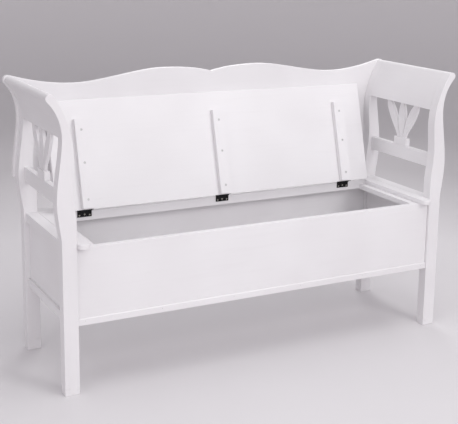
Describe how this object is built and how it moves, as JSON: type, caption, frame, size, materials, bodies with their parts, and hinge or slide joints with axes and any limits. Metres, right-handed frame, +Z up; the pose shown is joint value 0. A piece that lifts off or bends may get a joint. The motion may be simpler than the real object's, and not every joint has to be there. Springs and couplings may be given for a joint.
{
  "type": "storage bench",
  "caption": "White painted wooden storage bench: hinged seat lid over a chest, scalloped backrest, and scrolled open ends filled with a fan of leaves",
  "frame": {"origin": "on the floor, under the middle of the outer box, with the lid open against the backrest", "axes": "+X along the bench to the right-hand end seen from the front, +Y from the front panel to the backrest, +Z up from the floor"},
  "size_m": [1.4678, 0.475, 0.922],
  "materials": {
    "white_painted_wood": "smooth white satin paint over wood",
    "black_hinge_steel": "black lacquered steel",
    "screw_steel": "zinc-plated countersunk screws"
  },
  "bodies": {
    "frame": {"front_post_left": "white_painted_wood", "back_post_left": "white_painted_wood", "top_rail_left": "white_painted_wood", "mid_rail_left": "white_painted_wood", "leaf_block_left": "white_painted_wood", "leaf_front_left": "white_painted_wood", "leaf_middle_left": "white_painted_wood", "leaf_back_left": "white_painted_wood", "end_seat_rail_left": "white_painted_wood", "end_panel_left": "white_painted_wood", "end_foot_rail_left": "white_painted_wood", "front_post_right": "white_painted_wood", "back_post_right": "white_painted_wood", "top_rail_right": "white_painted_wood", "mid_rail_right": "white_painted_wood", "leaf_block_right": "white_painted_wood", "leaf_front_right": "white_painted_wood", "leaf_middle_right": "white_painted_wood", "leaf_back_right": "white_painted_wood", "end_seat_rail_right": "white_painted_wood", "end_panel_right": "white_painted_wood", "end_foot_rail_right": "white_painted_wood", "front_panel": "white_painted_wood", "front_moulding": "white_painted_wood", "back_panel": "white_painted_wood", "floor_board": "white_painted_wood", "floor_cleat_front": "white_painted_wood", "floor_cleat_back": "white_painted_wood", "hinge_rail": "white_painted_wood", "rear_ledge": "white_painted_wood", "lid_cleat_left": "white_painted_wood", "seat_strip_left": "white_painted_wood", "lid_cleat_right": "white_painted_wood", "seat_strip_right": "white_painted_wood", "backrest_board": "white_painted_wood", "hinge_rail_leaf_left": "black_hinge_steel", "hinge_pin_left": "black_hinge_steel", "hinge_rail_leaf_middle": "black_hinge_steel", "hinge_pin_middle": "black_hinge_steel", "hinge_rail_leaf_right": "black_hinge_steel", "hinge_pin_right": "black_hinge_steel"},
    "lid": {"lid_board": "white_painted_wood", "lid_batten_left": "white_painted_wood", "batten_screw_left_1": "screw_steel", "batten_screw_left_2": "screw_steel", "batten_screw_left_3": "screw_steel", "lid_batten_middle": "white_painted_wood", "batten_screw_middle_1": "screw_steel", "batten_screw_middle_2": "screw_steel", "batten_screw_middle_3": "screw_steel", "lid_batten_right": "white_painted_wood", "batten_screw_right_1": "screw_steel", "batten_screw_right_2": "screw_steel", "batten_screw_right_3": "screw_steel", "hinge_lid_leaf_left": "black_hinge_steel", "hinge_lid_leaf_middle": "black_hinge_steel", "hinge_lid_leaf_right": "black_hinge_steel"}
  },
  "joints": [
    {"name": "lid_hinge", "type": "hinge", "parent": "frame", "child": "lid", "pos_m": [0, 0.127, 0.475], "axis": [1, 0, 0], "range_deg": [0, 105.3]}
  ]
}
